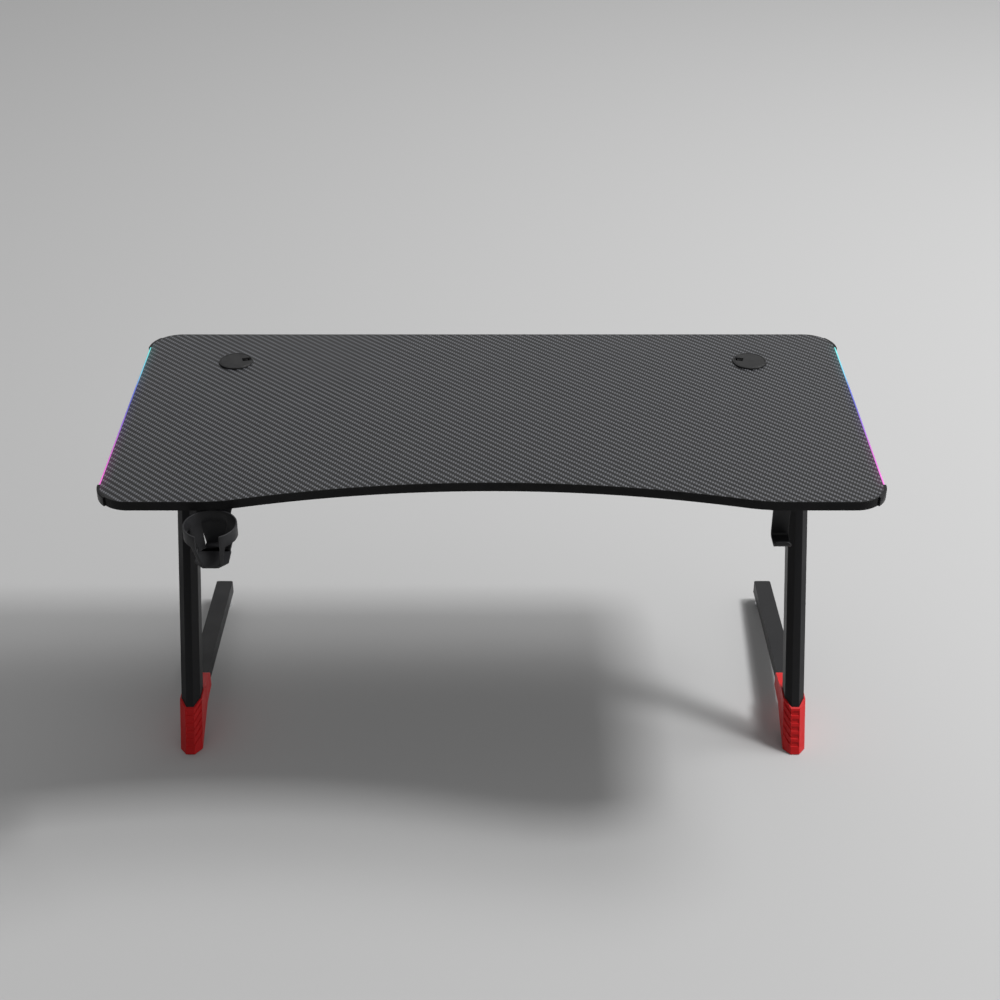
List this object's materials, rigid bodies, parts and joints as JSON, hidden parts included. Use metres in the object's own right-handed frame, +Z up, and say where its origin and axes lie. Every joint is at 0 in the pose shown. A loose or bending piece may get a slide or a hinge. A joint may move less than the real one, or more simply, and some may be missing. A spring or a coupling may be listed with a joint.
{
  "type": "gaming desk",
  "caption": "Gaming desk with a weave-printed top, hollow front edge, glowing side edges, leaning Z legs in red boots, a cup holder and a headphone hook.",
  "frame": {"origin": "on the floor, under the middle of the whole desk", "axes": "+X to the sitter's right, +Y from the sitter to the rear edge, +Z up"},
  "size_m": [1.607, 0.8432, 0.7535],
  "materials": {
    "fibreboard": "fine raw fibreboard",
    "weave_film": "satin film with a carbon weave print",
    "edge_band": "satin",
    "light_channel": "satin",
    "light_tape": "matte, with square light chips",
    "diffuser": "milky, lit from inside in a colour run",
    "cap_plastic": "fine-grained moulding",
    "grommet_plastic": "satin moulding",
    "black_steel": "satin powder coat",
    "plug_plastic": "satin moulding",
    "boot_plastic": "satin moulding, red",
    "pad_rubber": "matte",
    "glide_metal": "polished",
    "plated_steel": "zinc-plated",
    "holder_plastic": "fine-grained moulding",
    "hook_steel": "satin powder coat",
    "controller_plastic": "fine-grained moulding",
    "circuit_board": "green solder mask",
    "button_plastic": "satin",
    "lead_jacket": "matte jacket"
  },
  "bodies": {
    "desk": {"desktop_board": "fibreboard", "top_laminate": "weave_film", "edge_band_front": "edge_band", "edge_band_rear": "edge_band", "light_base_left": "light_channel", "light_base_right": "light_channel", "led_strip_left": "light_tape", "led_strip_right": "light_tape", "light_diffuser_left": "diffuser", "light_diffuser_right": "diffuser", "corner_cap_front_left": "cap_plastic", "corner_cap_front_right": "cap_plastic", "corner_cap_rear_left": "cap_plastic", "corner_cap_rear_right": "cap_plastic", "corner_cap_screws": "plated_steel", "grommet_ring_left": "grommet_plastic", "grommet_ring_right": "grommet_plastic", "top_beam_left": "black_steel", "top_beam_right": "black_steel", "top_beam_plugs_left": "plug_plastic", "top_beam_plugs_right": "plug_plastic", "column_left": "black_steel", "column_right": "black_steel", "column_top_plate_left": "black_steel", "column_top_plate_right": "black_steel", "base_beam_left": "black_steel", "base_beam_right": "black_steel", "base_beam_plug_left": "plug_plastic", "base_beam_plug_right": "plug_plastic", "boot_left": "boot_plastic", "boot_right": "boot_plastic", "boot_pad_left": "pad_rubber", "boot_pad_right": "pad_rubber", "glide_nut_left": "plated_steel", "glide_nut_right": "plated_steel", "front_rail": "black_steel", "rear_rail": "black_steel", "rail_brackets": "black_steel", "frame_bolts_left": "plated_steel", "frame_bolts_right": "plated_steel", "desktop_screws": "plated_steel", "cup_holder": "holder_plastic", "cup_holder_screws": "plated_steel", "headphone_hook": "hook_steel", "headphone_hook_screws": "plated_steel", "controller_base": "controller_plastic", "controller_cover": "controller_plastic", "controller_board": "circuit_board", "controller_inlet": "controller_plastic", "controller_screws": "plated_steel", "light_lead_left": "lead_jacket", "light_lead_right": "lead_jacket"},
    "cap_left": {"grommet_cap_left": "grommet_plastic"},
    "cap_right": {"grommet_cap_right": "grommet_plastic"},
    "foot_left": {"glide_left": "glide_metal"},
    "foot_right": {"glide_right": "glide_metal"},
    "button": {"controller_button": "button_plastic"}
  },
  "joints": [
    {"name": "grommet_cap_left_turn", "type": "hinge", "parent": "desk", "child": "cap_left", "pos_m": [-0.59, 0.28056, 0.751], "axis": [0, 0, 1], "continuous": true},
    {"name": "grommet_cap_right_turn", "type": "hinge", "parent": "desk", "child": "cap_right", "pos_m": [0.59, 0.28056, 0.751], "axis": [0, 0, 1], "continuous": true},
    {"name": "glide_left_level", "type": "slide", "parent": "desk", "child": "foot_left", "axis": [0, 0, 1], "range_m": [-0.01, 0.004]},
    {"name": "glide_right_level", "type": "slide", "parent": "desk", "child": "foot_right", "axis": [0, 0, 1], "range_m": [-0.01, 0.004]},
    {"name": "controller_button_press", "type": "slide", "parent": "desk", "child": "button", "axis": [0, 0, 1], "range_m": [0, 0.001], "stiffness_N_per_m": 400, "springref_m": -0.002}
  ]
}
